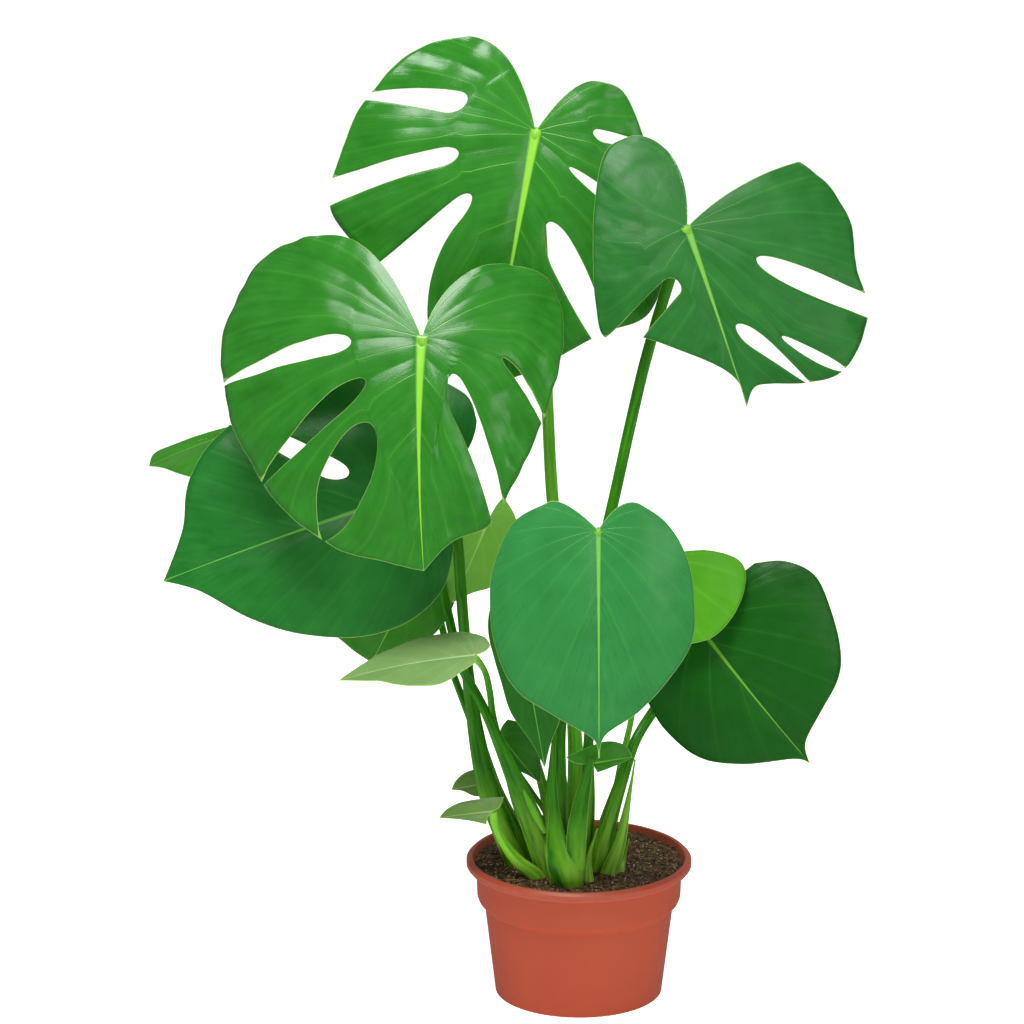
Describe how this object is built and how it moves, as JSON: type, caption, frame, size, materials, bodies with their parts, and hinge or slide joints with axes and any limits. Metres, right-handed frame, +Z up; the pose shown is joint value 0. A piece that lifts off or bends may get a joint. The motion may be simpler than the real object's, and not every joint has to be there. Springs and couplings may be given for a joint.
{
  "type": "potted philodendron",
  "caption": "Leafy split-leaf plant with long sheathing stalks and slit, heart-shaped blades, growing in soil in a round tapered plastic pot with a turned-down lip.",
  "frame": {"origin": "centre of the pot's underside, on the face it stands on", "axes": "+Z up, -Y the side the leaves face, +X to the right seen from that side"},
  "size_m": [0.6597, 0.3263, 0.8866],
  "materials": {
    "pot": "satin",
    "soil": "matte",
    "leaf_fresh": "satin",
    "leaf_dark": "satin",
    "leaf_light": "satin",
    "stalk": "satin",
    "sheath": "satin"
  },
  "bodies": {
    "root": {"pot": "pot", "soil": "soil", "top_blade": "leaf_fresh", "top_stalk": "stalk", "front_left_blade": "leaf_fresh", "front_left_stalk": "stalk", "upper_right_blade": "leaf_dark", "upper_right_stalk": "stalk", "left_large_blade": "leaf_dark", "left_large_stalk": "stalk", "front_blade": "leaf_fresh", "front_stalk": "stalk", "right_blade": "leaf_dark", "right_stalk": "stalk", "back_left_blade": "leaf_dark", "back_left_stalk": "stalk", "light_right_blade": "leaf_light", "light_right_stalk": "stalk", "left_small_blade": "leaf_light", "left_small_stalk": "stalk", "under_left_blade": "leaf_dark", "under_left_stalk": "stalk", "light_middle_blade": "leaf_light", "light_middle_stalk": "stalk", "behind_front_blade": "leaf_dark", "behind_front_stalk": "stalk", "cupped_blade": "leaf_dark", "cupped_stalk": "stalk", "small_cap_blade": "leaf_dark", "small_cap_stalk": "stalk", "small_left_blade": "leaf_dark", "small_left_stalk": "stalk", "small_behind_blade": "leaf_dark", "small_behind_stalk": "stalk", "young_shoot": "sheath", "right_sheath": "sheath", "front_sheath": "sheath"}
  },
  "joints": []
}
